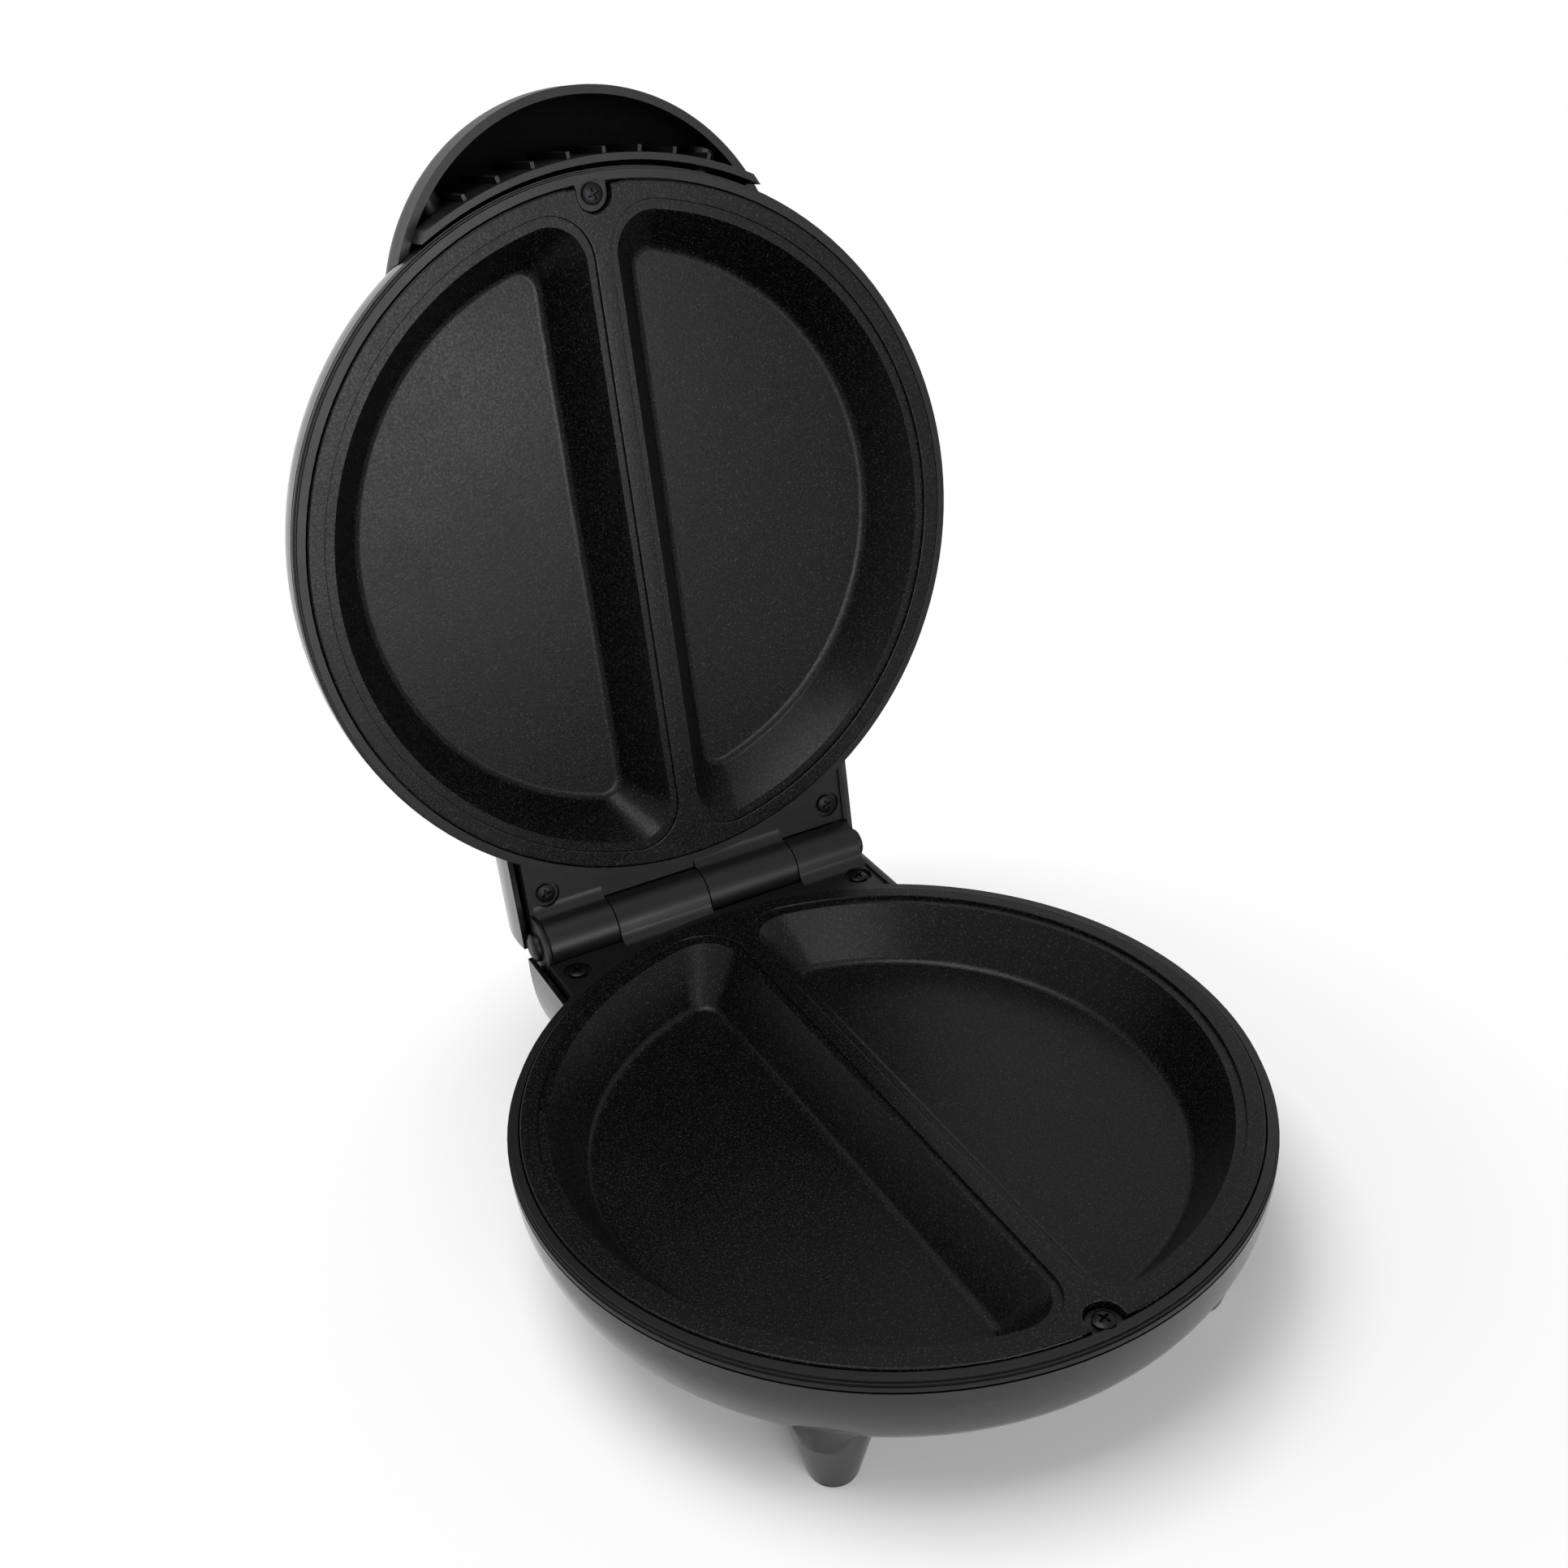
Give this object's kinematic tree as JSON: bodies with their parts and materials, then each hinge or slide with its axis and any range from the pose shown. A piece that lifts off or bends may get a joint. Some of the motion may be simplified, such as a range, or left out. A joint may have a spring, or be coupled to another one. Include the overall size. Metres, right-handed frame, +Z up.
{
  "type": "omelette maker",
  "caption": "Round countertop cooker with a hinged lid, two half-moon cooking cavities in each half, a hollow front handle and short legs.",
  "frame": {"origin": "middle of the footprint of the open cooker, on the surface that it stands on", "axes": "+Z up, the handle side of the base faces -Y, the hinge axis runs along X"},
  "size_m": [0.1968, 0.272, 0.271],
  "materials": {
    "gloss_black": "polished black moulding",
    "matte_black": "fine matte black moulding",
    "nonstick": "satin dark grey non-stick coat with a fine speckle, on a casting",
    "dark_steel": "blackened steel",
    "element_steel": "dull steel sheath",
    "sheet_aluminium": "plain sheet",
    "sheet_steel": "zinc plated strip",
    "ceramic": "unglazed white ceramic",
    "terminal_brass": "bare brass",
    "wire_sleeve": "woven glass sleeve",
    "black_rubber": "matte",
    "red_lens": "clear red moulding",
    "green_lens": "clear green moulding",
    "lamp_glass": "clear bulb"
  },
  "bodies": {
    "base": {"base_cooking_plate": "nonstick", "base_element_beads": "ceramic", "base_front_screw": "dark_steel", "base_heat_reflector": "sheet_aluminium", "base_heating_element": "element_steel", "base_hinge_screws": "dark_steel", "base_housing": "gloss_black", "base_reflector_screws": "dark_steel", "base_trim_ring": "matte_black", "base_wires": "wire_sleeve", "foot_pad_front_left": "black_rubber", "foot_pad_front_right": "black_rubber", "foot_pad_rear_left": "black_rubber", "foot_pad_rear_right": "black_rubber", "fuse_clip": "sheet_steel", "hinge_pin": "dark_steel", "terminal_block": "ceramic", "terminal_screws": "terminal_brass", "thermal_fuse": "terminal_brass", "thermostat": "element_steel", "thermostat_bracket": "sheet_steel"},
    "lid": {"handle": "matte_black", "handle_screws": "dark_steel", "lamp_holder": "matte_black", "lid_cooking_plate": "nonstick", "lid_cutout": "element_steel", "lid_cutout_bracket": "sheet_steel", "lid_element_beads": "ceramic", "lid_front_screw": "dark_steel", "lid_heat_reflector": "sheet_aluminium", "lid_heating_element": "element_steel", "lid_hinge_screws": "dark_steel", "lid_housing": "gloss_black", "lid_reflector_screws": "dark_steel", "lid_trim_ring": "matte_black", "lid_wires": "wire_sleeve", "power_lamp": "lamp_glass", "power_lamp_lens": "red_lens", "ready_lamp": "lamp_glass", "ready_lamp_lens": "green_lens"}
  },
  "joints": [
    {"name": "lid_hinge", "type": "hinge", "parent": "base", "child": "lid", "pos_m": [0, 0.07075, 0.04815], "axis": [1, 0, 0], "range_deg": [0, 98.67]}
  ]
}
